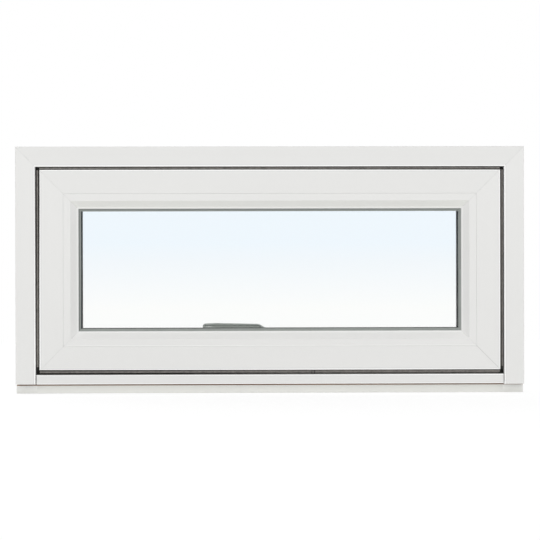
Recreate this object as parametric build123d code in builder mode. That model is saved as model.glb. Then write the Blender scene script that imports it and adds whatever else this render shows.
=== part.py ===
from build123d import *
import os

# Top-hung timber window clad with aluminium, 10 x 5 module, shown shut.
# X runs to the right as seen from outside, Y runs from the weather side into the room, and Z is up.
# The origin is the middle of the sill's underside. All sizes are in millimetres.

# Overall size
frame_width = 980.0
frame_height = 476.0
weather_face = -57.5
room_face = 57.5

# Frame section: the timber behind its cladding, the rebate that the sash closes against, the inner stop
jamb_face = 38.2
head_face = 38.7
sill_rebate = 37.0
timber_front = -37.5
stop_front = 24.0
stop_extra = 16.0
stop_round = 3.0
stop_groove_width = 3.0
stop_groove_depth = 5.0
stop_groove_offset = 10.0
timber_joint = 0.12

# Timber sill below the cladding
sill_lip = 15.6
sill_groove = 3.0
sill_groove_depth = 8.0
sill_front_round = 1.5

# Aluminium cladding
clad_wall = 2.0
clad_round = 1.3
clad_joint = 0.12
clip_rib = 1.6
clip_rib_depth = 6.0
jamb_clad_bottom_left = 18.5
jamb_clad_bottom_right = 17.1
sill_clad_bottom = 18.5
sill_clad_lip = 3.0
sill_clad_fall = 1.0
sill_clad_foot_round = 0.5
sill_joint_left = 2.0
sill_joint_right = 1.6

# Gaps between the frame and the sash
gap_side = 7.5
gap_top = 5.8
gap_bottom = 8.3

# Sash: widths are measured in from its outer edge
sash_face = -56.0
sash_flat = 46.0
bead_joint = 0.2
bead_strip_end = 59.8
bead_bevel_end = 71.7
bead_end = 75.0
bead_low = -47.2
bead_lip = -46.6
bead_back = -44.8
sash_return_end = -24.0
sash_timber_front = -34.0
sash_timber_back = 20.0
sash_timber_round = 3.0
glazing_rebate = 64.5
timber_inner_edge = 79.0

# Triple glazing: 4-12-4-12-4. Its spacers stand further in at the sides and below than above.
glass_edge = 67.0
glass_front = -40.0
pane = 4.0
pane_arris = 0.4
cavity = 12.0
spacer_outer = 67.5
spacer_inner = 79.0
spacer_side_shift = 2.2
spacer_foot_shift = 1.5
gasket_outer = 68.0
gasket_inner = 80.0
gasket_nose = 0.8
gasket_lip = 1.2
tape_outer = 67.5
tape_inner = 78.0

# Outer seal: a base that closes the gap, and a rounded crest along each side, clear of its walls by a crevice
seal_base_front = -41.0
seal_base_back = -35.0
seal_shoulder = -48.5
seal_crest = -51.0
seal_crevices = {"left": (1.5, 1.3), "right": (1.5, 1.3), "top": (0.9, 0.9), "bottom": (2.1, 0.4)}

# Inner seal: a tongue in the groove of the stop, and a body that tapers to the sash
inner_seal_foot = 8.7
inner_seal_foot_end = 14.4
inner_seal_taper = 1.2

# Side stays that carry the sash, one in each side gap: depths are measured from the jamb towards the sash
stay_front = -16.0
stay_width = 18.0
stay_top_clear = 20.0
track_length = 240.0
track_wall = 1.2
track_depth = 4.2
track_slot = 11.6
slider_length = 40.0
slider_drop = 24.0
slider_foot = 15.0
slider_neck = 11.0
slider_step = 2.8
slider_depth = 4.4
link_start = 5.2
link_width = 14.0
arm_start = 7.2
arm_width = 16.0
arm_length = 190.0
pivot_radius = 3.0
pivot_slack = 0.1
pivot_track_rise = 24.0
pivot_middle_rise = 126.0

# Espagnolette in the bottom rail, and its keepers on the sill
faceplate_length = 620.0
faceplate_front = -8.0
faceplate_width = 16.0
faceplate_thickness = 2.0
cam_radius = 4.0
cam_length = 5.0
cam_places = (-246.0, 86.0)
keeper_length = 30.0
keeper_base = 2.0
keeper_base_depth = 19.0
keeper_height = 6.0
keeper_wall = 3.0

# Handle: the lever points left as seen from outside when the window is locked
spindle_height = 112.0
plate_length = 66.0
plate_height = 24.0
plate_thickness = 9.0
plate_bevel = 2.0
socket_radius = 8.2
socket_depth = 5.0
neck_radius = 8.0
neck_gap = 0.5
hub_start = 10.0
hub_radius = 9.4
lever_round = 2.0
fit_room = 40.0

# The lever's outline seen from outside, from the spindle, with the round of each corner
elevation_points = ((2, 0), (2, 8.6), (20.5, 19.1), (106, 21), (131.6, 20.2), (131.2, 4.6), (27, 2.6), (4, -7.6))
elevation_rounds = (0, 0, 20, 0, 6, 6, 16, 0)

# The lever's outline seen from above, from the sash's room side: the neck, an elbow, then a straight grip
elbow_room = 12.0
elbow_round = 14.0
elbow_inner_round = 9.0
grip_outer = 42.0
grip_inner = 31.0
grip_reach = 136.0

# Fixing holes through the jambs
fixing_radius = 7.0
fixing_depth_place = 8.0
fixing_low = 118.0
fixing_high = 358.0

# Worked-out places
half_width = frame_width / 2
rebate_left = -half_width + jamb_face
rebate_right = -rebate_left
rebate_high = frame_height - head_face
sash_left = rebate_left + gap_side
sash_right = -sash_left
sash_low = sill_rebate + gap_bottom
sash_high = rebate_high - gap_top
sash_box = (sash_left, sash_right, sash_low, sash_high)
frame_box = (-half_width, half_width, 0.0, frame_height)
rebate_box = (rebate_left, rebate_right, sill_rebate, rebate_high)
inner_glass_back = glass_front + 3 * pane + 2 * cavity
gap_by_side = {"top": gap_top, "bottom": gap_bottom, "left": gap_side, "right": gap_side}
sides = ("top", "bottom", "left", "right")

os.makedirs("parts", exist_ok=True)


def write(builder, name):
    """Label a finished piece and write its STEP file."""
    builder.part.label = name
    export_step(builder.part, f"parts/{name}.step")


def section_plane(side, box):
    """Plane across one member of a rectangular ring: its X points in from the outer edge, its Y into the room."""
    left, right, low, high = box
    planes = {
        "left": Plane(origin=(left, 0, low), x_dir=(1, 0, 0), z_dir=(0, 0, 1)),
        "right": Plane(origin=(right, 0, high), x_dir=(-1, 0, 0), z_dir=(0, 0, -1)),
        "bottom": Plane(origin=(right, 0, low), x_dir=(0, 0, 1), z_dir=(-1, 0, 0)),
        "top": Plane(origin=(left, 0, high), x_dir=(0, 0, -1), z_dir=(1, 0, 0)),
    }
    return planes[side]


def run_length(side, box):
    """Length of one member of a rectangular ring, measured along its outer edge."""
    left, right, low, high = box
    return right - left if side in ("top", "bottom") else high - low


def mitre(plane, length, start=True, end=True, lean=1.0, joint=0.0):
    """Cut the current part's ends on the bevel, half a joint short. Lean is the neighbour's width over its own."""
    if start:
        onward = (plane.z_dir - plane.x_dir * lean).normalized()
        near = plane.origin + onward * (joint / 2)
        split(bisect_by=Plane(near, x_dir=plane.y_dir, z_dir=onward), keep=Keep.TOP)
    if end:
        backward = (-plane.z_dir - plane.x_dir * lean).normalized()
        far = plane.origin + plane.z_dir * length + backward * (joint / 2)
        split(bisect_by=Plane(far, x_dir=plane.y_dir, z_dir=backward), keep=Keep.TOP)


def ring(outline, box):
    """A section carried round all four sides of a rectangle, with mitred corners."""
    members = []
    for side in sides:
        plane = section_plane(side, box)
        with BuildPart() as member:
            with BuildSketch(plane):
                add(outline)
            extrude(amount=run_length(side, box))
            mitre(plane, run_length(side, box))
        members.append(member.part)
    with BuildPart() as whole:
        add(members)
    return whole


# Frame timber

def frame_timber_section(rebate):
    """Section of a jamb, the head or the sill: the rebate, and the stop that the sash closes against."""
    stop = rebate + stop_extra
    with BuildSketch() as section:
        with BuildLine():
            Polyline(
                (0, timber_front),
                (rebate, timber_front),
                (rebate, stop_front),
                (stop, stop_front),
                (stop, room_face),
                (0, room_face),
                close=True,
            )
        make_face()
        fillet(section.vertices().sort_by_distance((stop, room_face))[0], radius=stop_round)
    return section.sketch


with BuildSketch() as gasket_groove_section:
    with Locations((stop_groove_offset, stop_front)):
        Rectangle(stop_groove_width, stop_groove_depth, align=(Align.CENTER, Align.MIN))
gasket_groove = ring(gasket_groove_section.sketch, rebate_box).part

sill_plane = section_plane("bottom", frame_box)
with BuildPart() as frame_sill_timber:
    with BuildSketch(sill_plane) as sill_section:
        add(frame_timber_section(sill_rebate))
        with Locations((sill_lip, timber_front)):
            Rectangle(sill_groove, sill_groove_depth, align=(Align.MIN, Align.MIN), mode=Mode.SUBTRACT)
    extrude(amount=frame_width)
    scribe_sill = frame_sill_timber.part
    front_arris = frame_sill_timber.edges().filter_by(Axis.X).group_by(Axis.Y)[0].sort_by(Axis.Z)[0]
    fillet(front_arris, radius=sill_front_round)
    add(gasket_groove, mode=Mode.SUBTRACT)
write(frame_sill_timber, "frame_sill_timber")

head_plane = section_plane("top", frame_box)
with BuildPart() as frame_head_timber:
    with BuildSketch(head_plane):
        add(frame_timber_section(head_face))
    extrude(amount=frame_width)
    scribe_head = frame_head_timber.part
    add(gasket_groove, mode=Mode.SUBTRACT)
write(frame_head_timber, "frame_head_timber")

# Each jamb stands on the sill and is scribed over the stops of the sill and the head, a glue line clear of them.
for side in ("left", "right"):
    jamb_box = (-half_width, half_width, sill_rebate, rebate_high)
    jamb_plane = section_plane(side, jamb_box)
    with BuildPart() as jamb:
        with BuildSketch(jamb_plane):
            add(frame_timber_section(jamb_face))
        extrude(amount=run_length(side, jamb_box))
        with Locations((0, 0, timber_joint)):
            add(scribe_sill, mode=Mode.SUBTRACT)
        with Locations((0, 0, -timber_joint)):
            add(scribe_head, mode=Mode.SUBTRACT)
        add(gasket_groove, mode=Mode.SUBTRACT)
        outer_face = Plane(origin=(jamb_plane.origin.X, 0, 0), x_dir=(0, 1, 0), z_dir=(jamb_plane.x_dir.X, 0, 0))
        with BuildSketch(outer_face):
            up = outer_face.y_dir.Z
            with Locations((fixing_depth_place, up * fixing_low), (fixing_depth_place, up * fixing_high)):
                Circle(fixing_radius)
        extrude(amount=jamb_face, mode=Mode.SUBTRACT)
    write(jamb, f"frame_{side}_jamb_timber")


# Frame cladding

def frame_cladding_section(face_width):
    """Pressed channel: the face, two returns down to the timber, and two ribs that snap on its clips."""
    with BuildSketch() as section:
        with Locations((0, weather_face)):
            Rectangle(face_width, timber_front - weather_face, align=(Align.MIN, Align.MIN))
        with Locations((clad_wall, weather_face + clad_wall)):
            Rectangle(
                face_width - 2 * clad_wall,
                timber_front - weather_face - clad_wall,
                align=(Align.MIN, Align.MIN),
                mode=Mode.SUBTRACT,
            )
        with Locations((face_width / 3, weather_face + clad_wall), (face_width * 2 / 3, weather_face + clad_wall)):
            Rectangle(clip_rib, clip_rib_depth, align=(Align.CENTER, Align.MIN))
        fillet(section.vertices().group_by(Axis.Y)[0], radius=clad_round)
    return section.sketch


with BuildPart() as frame_head_cladding:
    with BuildSketch(head_plane):
        add(frame_cladding_section(head_face))
    extrude(amount=frame_width)
    mitre(head_plane, frame_width, lean=jamb_face / head_face, joint=clad_joint)
write(frame_head_cladding, "frame_head_cladding")

for side, bottom in (("left", jamb_clad_bottom_left), ("right", jamb_clad_bottom_right)):
    clad_box = (-half_width, half_width, bottom, frame_height)
    clad_plane = section_plane(side, clad_box)
    with BuildPart() as jamb_cladding:
        with BuildSketch(clad_plane):
            add(frame_cladding_section(jamb_face))
        extrude(amount=frame_height - bottom)
        mitre(
            clad_plane,
            frame_height - bottom,
            start=side == "right",
            end=side == "left",
            lean=head_face / jamb_face,
            joint=clad_joint,
        )
    write(jamb_cladding, f"frame_{side}_jamb_cladding")

# The sill's channel has a plate that falls from the timber to the back of the face, lower than the face's top.
plate_low = sill_rebate - sill_clad_lip
with BuildPart() as frame_sill_cladding:
    sill_clad_right = rebate_right - sill_joint_right
    with BuildSketch(Plane(origin=(sill_clad_right, 0, 0), x_dir=(0, 0, 1), z_dir=(-1, 0, 0))) as sill_clad:
        with BuildLine():
            Polyline(
                (sill_clad_bottom, timber_front),
                (sill_clad_bottom, weather_face),
                (sill_rebate, weather_face),
                (sill_rebate, weather_face + clad_wall),
                (plate_low, weather_face + clad_wall),
                (plate_low + sill_clad_fall, timber_front),
                (plate_low + sill_clad_fall - clad_wall, timber_front),
                (plate_low - clad_wall, weather_face + clad_wall),
                (sill_clad_bottom + clad_wall, weather_face + clad_wall),
                (sill_clad_bottom + clad_wall, timber_front),
                close=True,
            )
        make_face()
        fillet(sill_clad.vertices().sort_by_distance((sill_rebate, weather_face))[0], radius=clad_round)
        fillet(sill_clad.vertices().sort_by_distance((sill_clad_bottom, weather_face))[0], radius=sill_clad_foot_round)
    extrude(amount=sill_clad_right - rebate_left - sill_joint_left)
write(frame_sill_cladding, "frame_sill_cladding")


# Sash timber: the stiles run the full height and the rails are scribed between them

with BuildSketch() as sash_timber_section:
    with BuildLine():
        Polyline(
            (clad_wall, sash_timber_front),
            (glazing_rebate, sash_timber_front),
            (glazing_rebate, inner_glass_back + clad_wall),
            (timber_inner_edge, inner_glass_back + clad_wall),
            (timber_inner_edge, sash_timber_back),
            (clad_wall, sash_timber_back),
            close=True,
        )
    make_face()
    inner_arris = sash_timber_section.vertices().sort_by_distance((timber_inner_edge, sash_timber_back))[0]
    fillet(inner_arris, radius=sash_timber_round)

stiles = {}
for side in ("left", "right"):
    stile_box = (sash_left, sash_right, sash_low + clad_wall, sash_high - clad_wall)
    with BuildPart() as stile:
        with BuildSketch(section_plane(side, stile_box)):
            add(sash_timber_section.sketch)
        extrude(amount=run_length(side, stile_box))
    stiles[side] = stile.part
    write(stile, f"sash_{side}_timber")

rail_inset = clad_wall + timber_joint
for side in ("top", "bottom"):
    rail_box = (sash_left + rail_inset, sash_right - rail_inset, sash_low, sash_high)
    with BuildPart() as rail:
        with BuildSketch(section_plane(side, rail_box)):
            add(sash_timber_section.sketch)
        extrude(amount=run_length(side, rail_box))
        with Locations((timber_joint, 0, 0)):
            add(stiles["left"], mode=Mode.SUBTRACT)
        with Locations((-timber_joint, 0, 0)):
            add(stiles["right"], mode=Mode.SUBTRACT)
    write(rail, f"sash_{side}_timber")


# Sash cladding and glazing beads, mitred at all four corners

with BuildSketch() as sash_cladding_section:
    with BuildLine():
        Polyline(
            (0, sash_return_end),
            (0, sash_face),
            (sash_flat, sash_face),
            (sash_flat, sash_timber_front),
            (sash_flat - clad_wall, sash_timber_front),
            (sash_flat - clad_wall, sash_face + clad_wall),
            (clad_wall, sash_face + clad_wall),
            (clad_wall, sash_return_end),
            close=True,
        )
    make_face()
    with Locations((sash_flat / 2, sash_face + clad_wall)):
        Rectangle(clip_rib, clip_rib_depth, align=(Align.CENTER, Align.MIN))
    fillet(sash_cladding_section.vertices().sort_by_distance((0, sash_face))[0], radius=clad_round)

bead_outer = sash_flat + bead_joint
with BuildSketch() as bead_section:
    with BuildLine():
        Polyline(
            (bead_outer, sash_timber_front),
            (bead_outer, sash_face),
            (bead_strip_end, sash_face),
            (bead_bevel_end, bead_low),
            (bead_end, bead_lip),
            (bead_end, bead_back),
            (bead_bevel_end - clad_wall, bead_back),
            (bead_strip_end - clad_wall / 2, sash_face + clad_wall),
            (bead_outer + clad_wall, sash_face + clad_wall),
            (bead_outer + clad_wall, sash_timber_front),
            close=True,
        )
    make_face()

for side in sides:
    member_plane = section_plane(side, sash_box)
    member_length = run_length(side, sash_box)
    for name, outline in (
        (f"sash_{side}_cladding", sash_cladding_section.sketch),
        (f"glazing_bead_{side}", bead_section.sketch),
    ):
        with BuildPart() as member:
            with BuildSketch(member_plane):
                add(outline)
            extrude(amount=member_length)
            mitre(member_plane, member_length, joint=clad_joint)
        write(member, name)


# Rings of rubber and the glazing unit

with BuildSketch() as glazing_gasket_section:
    with BuildLine():
        Polyline(
            (gasket_outer, glass_front),
            (gasket_outer, bead_back),
            (bead_end, bead_back),
            (bead_end, bead_lip + gasket_nose),
            (gasket_inner, glass_front - gasket_lip),
            (gasket_inner, glass_front),
            close=True,
        )
    make_face()
write(ring(glazing_gasket_section.sketch, sash_box), "outer_glazing_gasket")

with BuildSketch() as glazing_tape_section:
    with Locations((tape_outer, inner_glass_back)):
        Rectangle(tape_inner - tape_outer, clad_wall, align=(Align.MIN, Align.MIN))
write(ring(glazing_tape_section.sketch, sash_box), "inner_glazing_tape")

unit_width = sash_right - sash_left - 2 * glass_edge
unit_height = sash_high - sash_low - 2 * glass_edge
unit_middle = (sash_low + sash_high) / 2
for name, place in (("outer", 0), ("middle", 1), ("inner", 2)):
    front = glass_front + place * (pane + cavity)
    with BuildPart() as sheet:
        with BuildSketch(Plane(origin=(0, front, unit_middle), x_dir=(1, 0, 0), z_dir=(0, -1, 0))):
            Rectangle(unit_width, unit_height)
        extrude(amount=-pane)
        chamfer(sheet.edges(), length=pane_arris)
    write(sheet, f"{name}_pane")

spacer_box = (
    sash_left + spacer_side_shift,
    sash_right - spacer_side_shift,
    sash_low + spacer_foot_shift,
    sash_high,
)
for name, front in (("outer", glass_front + pane), ("inner", glass_front + 2 * pane + cavity)):
    with BuildSketch() as spacer_section:
        with Locations((spacer_outer, front)):
            Rectangle(spacer_inner - spacer_outer, cavity, align=(Align.MIN, Align.MIN))
    write(ring(spacer_section.sketch, spacer_box), f"{name}_spacer")


# Seals between frame and sash

def seal_crest_section(side):
    """The crest of the outer seal on one side: straight flanks and a round front, a crevice clear of both walls."""
    crevice_frame, crevice_sash = seal_crevices[side]
    near = crevice_frame
    far = gap_by_side[side] - crevice_sash
    with BuildSketch() as section:
        with BuildLine():
            Polyline((near, seal_shoulder), (near, seal_base_front), (far, seal_base_front), (far, seal_shoulder))
            ThreePointArc((near, seal_shoulder), ((near + far) / 2, seal_crest), (far, seal_shoulder))
        make_face()
    return section.sketch


# The crests stop at the sash's corners, so that each corner of the gap is a deep square hole.
across_box = (sash_left, sash_right, sill_rebate, rebate_high)
upright_box = (rebate_left, rebate_right, sash_low, sash_high)
crest_boxes = {"top": across_box, "bottom": across_box, "left": upright_box, "right": upright_box}
gap_middle = Plane(origin=(0, seal_base_front, (sill_rebate + rebate_high) / 2), x_dir=(1, 0, 0), z_dir=(0, -1, 0))
sash_offset = (sash_low + sash_high) / 2 - gap_middle.origin.Z
with BuildPart() as frame_outer_gasket:
    with BuildSketch(gap_middle):
        Rectangle(rebate_right - rebate_left, rebate_high - sill_rebate)
        with Locations((0, sash_offset)):
            Rectangle(sash_right - sash_left, sash_high - sash_low, mode=Mode.SUBTRACT)
    extrude(amount=seal_base_front - seal_base_back)
    for side in sides:
        with BuildSketch(section_plane(side, crest_boxes[side])):
            add(seal_crest_section(side))
        extrude(amount=run_length(side, crest_boxes[side]))
write(frame_outer_gasket, "frame_outer_gasket")

with BuildSketch() as inner_gasket_section:
    with Locations((stop_groove_offset, stop_front)):
        Rectangle(stop_groove_width, stop_groove_depth, align=(Align.CENTER, Align.MIN))
    with BuildLine():
        Polyline(
            (inner_seal_foot, stop_front),
            (inner_seal_foot + inner_seal_taper, sash_timber_back),
            (inner_seal_foot_end - inner_seal_taper, sash_timber_back),
            (inner_seal_foot_end, stop_front),
            close=True,
        )
    make_face()
write(ring(inner_gasket_section.sketch, rebate_box), "frame_inner_gasket")


# Side stays, in the side gaps. A slider runs in a track on the jamb and carries the top of the arm on the sash.
# A link joins the arm's middle to a pin low in the track.

track_high = sash_high - stay_top_clear
track_low = track_high - track_length
pivot_top = track_high - slider_drop
pivot_middle = track_low + pivot_middle_rise
pivot_bottom = track_low + pivot_track_rise
stay_middle = stay_front + stay_width / 2
stile_depth = gap_side + clad_wall


def pin(plane, height, length, radius):
    """A round pin, or the shape of the hole for one, at a height on a plane that faces the sash."""
    with BuildPart() as piece:
        with BuildSketch(plane):
            with Locations((stay_middle, plane.y_dir.Z * height)):
                Circle(radius)
        extrude(amount=length)
    return piece.part


for side in ("left", "right"):
    track_box = (rebate_left, rebate_right, track_low, track_high)
    toward_sash = section_plane(side, track_box).x_dir
    jamb_x = section_plane(side, track_box).origin.X
    depth_planes = {
        depth: Plane(origin=(jamb_x + toward_sash.X * depth, 0, 0), x_dir=(0, 1, 0), z_dir=toward_sash)
        for depth in (track_wall, slider_step, link_start, arm_start)
    }
    up = depth_planes[track_wall].y_dir.Z
    link_thickness = arm_start - link_start
    hole_radius = pivot_radius + pivot_slack
    track_pin = pin(depth_planes[track_wall], pivot_bottom, arm_start - track_wall, pivot_radius)
    slider_hole = pin(depth_planes[slider_step], pivot_top, slider_depth - slider_step, hole_radius)
    link_holes = [
        pin(depth_planes[link_start], height, link_thickness, hole_radius) for height in (pivot_middle, pivot_bottom)
    ]
    slider_pin = pin(depth_planes[arm_start], pivot_top, slider_step - arm_start, pivot_radius)
    link_pin = pin(depth_planes[arm_start], pivot_middle, link_start - arm_start, pivot_radius)

    with BuildPart() as track:
        with BuildSketch(section_plane(side, track_box)):
            with Locations((0, stay_front)):
                Rectangle(track_depth, stay_width, align=(Align.MIN, Align.MIN))
            with Locations((track_wall, stay_middle)):
                Rectangle(
                    track_depth - 2 * track_wall,
                    stay_width - 2 * track_wall,
                    align=(Align.MIN, Align.CENTER),
                    mode=Mode.SUBTRACT,
                )
                Rectangle(track_depth, track_slot, align=(Align.MIN, Align.CENTER), mode=Mode.SUBTRACT)
        extrude(amount=track_length)
        add(track_pin)
    write(track, f"stay_{side}_track")

    slider_box = (rebate_left, rebate_right, pivot_top - slider_length / 2, pivot_top + slider_length / 2)
    with BuildPart() as slider:
        with BuildSketch(section_plane(side, slider_box)):
            with Locations((track_wall, stay_middle)):
                Rectangle(slider_step - track_wall, slider_foot, align=(Align.MIN, Align.CENTER))
                Rectangle(slider_depth - track_wall, slider_neck, align=(Align.MIN, Align.CENTER))
        extrude(amount=slider_length)
        add(slider_hole, mode=Mode.SUBTRACT)
    write(slider, f"stay_{side}_slider")

    link_length = pivot_middle - pivot_bottom + link_width
    with BuildPart() as link:
        with BuildSketch(depth_planes[link_start]):
            with Locations((stay_middle, up * (pivot_middle + pivot_bottom) / 2)):
                SlotOverall(link_length, link_width, rotation=90)
        extrude(amount=link_thickness)
        add(link_holes, mode=Mode.SUBTRACT)
    write(link, f"stay_{side}_link")

    arm_high = pivot_top + arm_width / 2
    with BuildPart() as arm:
        with BuildSketch(depth_planes[arm_start]):
            with Locations((stay_middle, up * (arm_high - arm_length / 2))):
                SlotOverall(arm_length, arm_width, rotation=90)
        extrude(amount=stile_depth - arm_start)
        add([slider_pin, link_pin])
    write(arm, f"stay_{side}_arm")


# Espagnolette faceplate with its cams, and the keepers on the sill

faceplate_middle = faceplate_front + faceplate_width / 2
with BuildPart() as espagnolette:
    with BuildSketch(Plane.XY.offset(sash_low)):
        with Locations((0, faceplate_middle)):
            SlotOverall(faceplate_length, faceplate_width)
    extrude(amount=faceplate_thickness)
    with BuildSketch(Plane.XY.offset(sash_low - cam_length)):
        with Locations(*[(place, faceplate_middle) for place in cam_places]):
            Circle(cam_radius)
    extrude(amount=cam_length)
write(espagnolette, "espagnolette")

keeper_front = faceplate_middle - cam_radius - keeper_wall
for side, place in zip(("left", "right"), cam_places):
    with BuildPart() as keeper:
        keeper_end = Plane(origin=(place - keeper_length / 2, 0, sill_rebate), x_dir=(0, 1, 0), z_dir=(1, 0, 0))
        with BuildSketch(keeper_end):
            with Locations((keeper_front, 0)):
                Rectangle(keeper_wall, keeper_height, align=(Align.MIN, Align.MIN))
                Rectangle(keeper_base_depth, keeper_base, align=(Align.MIN, Align.MIN))
        extrude(amount=keeper_length)
    write(keeper, f"keeper_{side}")


# Handle: a plate with a socket, and a cast lever. The lever's elevation and its plan are cut from one block.

handle_wall = Plane(origin=(0, sash_timber_back, spindle_height), x_dir=(-1, 0, 0), z_dir=(0, 1, 0))
with BuildPart() as handle_backplate:
    with BuildSketch(handle_wall):
        SlotOverall(plate_length, plate_height)
    extrude(amount=plate_thickness)
    chamfer(handle_backplate.faces().sort_by(Axis.Y)[-1].edges(), length=plate_bevel)
    with BuildSketch(handle_wall.offset(plate_thickness)):
        Circle(socket_radius)
    extrude(amount=-socket_depth, mode=Mode.SUBTRACT)
write(handle_backplate, "handle_backplate")

handle_plan = Plane(origin=(0, sash_timber_back, spindle_height + fit_room), x_dir=(-1, 0, 0), z_dir=(0, 0, -1))
plan_points = (
    (hub_radius, grip_inner),
    (hub_radius, hub_start),
    (-elbow_room, hub_start),
    (-elbow_room, grip_outer),
    (grip_reach, grip_outer),
    (grip_reach, grip_inner),
)
plan_rounds = (elbow_inner_round, 0, 0, elbow_round, 0, 0)
with BuildPart() as handle_lever:
    with BuildSketch(handle_wall.offset(hub_start)):
        Circle(hub_radius)
        with BuildLine():
            FilletPolyline(elevation_points, radius=elevation_rounds, close=True)
        make_face()
    extrude(amount=fit_room)
    with BuildSketch(handle_plan):
        with BuildLine():
            FilletPolyline(plan_points, radius=plan_rounds, close=True)
        make_face()
    extrude(amount=2 * fit_room, mode=Mode.INTERSECT)
    grip_faces = handle_lever.faces().filter_by(Axis.Y).sort_by(Axis.Y)[-2:]
    fillet(grip_faces.edges(), radius=lever_round)
    with BuildSketch(handle_wall.offset(plate_thickness - socket_depth + neck_gap)):
        Circle(neck_radius)
    extrude(amount=hub_start - plate_thickness + socket_depth - neck_gap + lever_round)
write(handle_lever, "handle_lever")
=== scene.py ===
import bmesh
import bpy
import math
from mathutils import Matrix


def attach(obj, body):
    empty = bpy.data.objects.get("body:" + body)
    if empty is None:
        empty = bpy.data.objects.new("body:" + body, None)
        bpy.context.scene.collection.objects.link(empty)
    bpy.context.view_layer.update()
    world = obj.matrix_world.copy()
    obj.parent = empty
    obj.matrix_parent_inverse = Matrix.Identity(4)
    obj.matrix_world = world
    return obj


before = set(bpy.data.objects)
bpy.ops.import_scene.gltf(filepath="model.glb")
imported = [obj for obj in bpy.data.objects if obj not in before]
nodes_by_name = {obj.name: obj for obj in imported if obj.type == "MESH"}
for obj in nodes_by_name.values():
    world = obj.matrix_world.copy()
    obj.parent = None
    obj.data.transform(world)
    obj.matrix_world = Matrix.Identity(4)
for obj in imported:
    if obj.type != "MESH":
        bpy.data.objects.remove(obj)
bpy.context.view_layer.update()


# Camera: a long lens far off, square to the weather side and close to level with the window, so that its
# edges stay parallel. It stands a little left of the middle and leans by an eighth of a degree.
camera_place = (-0.0772, -4.5, 0.2636)
camera_heading = 0.01731
camera_pitch = -0.00579
camera_roll = 0.0021
sensor_width = 36.0
lens_length = 153.8

camera_data = bpy.data.cameras.new("photo_camera")
camera_data.sensor_width = sensor_width
camera_data.lens = lens_length
camera = bpy.data.objects.new("photo_camera", camera_data)
camera.location = camera_place
camera.rotation_euler = (math.radians(90) + camera_pitch, camera_roll, -camera_heading)
bpy.context.scene.collection.objects.link(camera)
bpy.context.scene.camera = camera


# Frame timber: sill, head and jambs planed from pine and sprayed white in the factory. The paint is satin and
# thin enough to show the grain in low light. The groove in the sill's front is bare, so it is brown.
def fresh_material(name):
    """A new material with its Principled BSDF, ready for nodes."""
    material = bpy.data.materials.new(name)
    material.use_nodes = True
    return material, material.node_tree, material.node_tree.nodes["Principled BSDF"]


def put_node(tree, kind, settings=None, values=None):
    """A shader node with its settings and its unlinked input values."""
    node = tree.nodes.new(kind)
    for name, setting in (settings or {}).items():
        setattr(node, name, setting)
    for name, value in (values or {}).items():
        node.inputs[name].default_value = value
    return node


def put_math(tree, operation, first, second=0.0):
    """A Math node. Each side is a socket or a number."""
    node = put_node(tree, "ShaderNodeMath", {"operation": operation})
    for socket, side in zip(node.inputs, (first, second)):
        if isinstance(side, (int, float)):
            socket.default_value = side
        else:
            tree.links.new(side, socket)
    return node.outputs["Value"]


def put_size(tree, value):
    """A value without its sign."""
    return put_math(tree, "ABSOLUTE", value)


def put_over(tree, value, limit):
    """One where a value is over a limit, and nought elsewhere."""
    return put_math(tree, "GREATER_THAN", value, limit)


def put_under(tree, value, limit):
    """One where a value is under a limit, and nought elsewhere."""
    return put_math(tree, "LESS_THAN", value, limit)


def put_all(tree, *masks):
    """Masks multiplied together, so that each has to hold."""
    whole = masks[0]
    for mask in masks[1:]:
        whole = put_math(tree, "MULTIPLY", whole, mask)
    return whole


def put_any(tree, *masks):
    """The largest of some masks, so that one of them has to hold."""
    whole = masks[0]
    for mask in masks[1:]:
        whole = put_math(tree, "MAXIMUM", whole, mask)
    return whole


def put_less(tree, value, mask):
    """A value less the share of it that a mask covers."""
    return put_math(tree, "MULTIPLY", value, put_math(tree, "SUBTRACT", 1.0, mask))


def put_band(tree, value, low, high):
    """One where a value lies between low and high, and nought elsewhere."""
    return put_all(tree, put_over(tree, value, low), put_under(tree, value, high))


def put_range(tree, value, low, high, new_low=0.0, new_high=1.0):
    """A value rescaled from one range to another, and held inside it."""
    limits = {"From Min": low, "From Max": high, "To Min": new_low, "To Max": new_high}
    node = put_node(tree, "ShaderNodeMapRange", {"clamp": True}, limits)
    tree.links.new(value, node.inputs["Value"])
    return node.outputs["Result"]


def put_mix(tree, factor, under, over):
    """A colour mixed by a factor from 0 to 1. Each colour is a socket or three numbers."""
    # The Mix node repeats its sockets' names for numbers, vectors and colours, so they go by their place
    node = put_node(tree, "ShaderNodeMix", {"data_type": "RGBA"})
    tree.links.new(factor, node.inputs[0])
    for socket, colour in ((node.inputs[6], under), (node.inputs[7], over)):
        if isinstance(colour, tuple):
            socket.default_value = (*colour, 1)
        else:
            tree.links.new(colour, socket)
    return node.outputs[2]


def put_bump(tree, height, strength, distance):
    """A bump normal from a height that runs from 0 to 1."""
    node = put_node(tree, "ShaderNodeBump", values={"Strength": strength, "Distance": distance})
    tree.links.new(height, node.inputs["Height"])
    return node.outputs["Normal"]


def put_place(tree, scale=None):
    """Object coordinates, stretched by a scale on each axis if one is given."""
    place = tree.nodes.new("ShaderNodeTexCoord").outputs["Object"]
    if scale is None:
        return place
    mapping = put_node(tree, "ShaderNodeMapping", values={"Scale": scale})
    tree.links.new(place, mapping.inputs["Vector"])
    return mapping.outputs["Vector"]


def put_axes(tree, place):
    """The X, Y and Z of a place."""
    node = tree.nodes.new("ShaderNodeSeparateXYZ")
    tree.links.new(place, node.inputs["Vector"])
    return node.outputs["X"], node.outputs["Y"], node.outputs["Z"]


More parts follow.
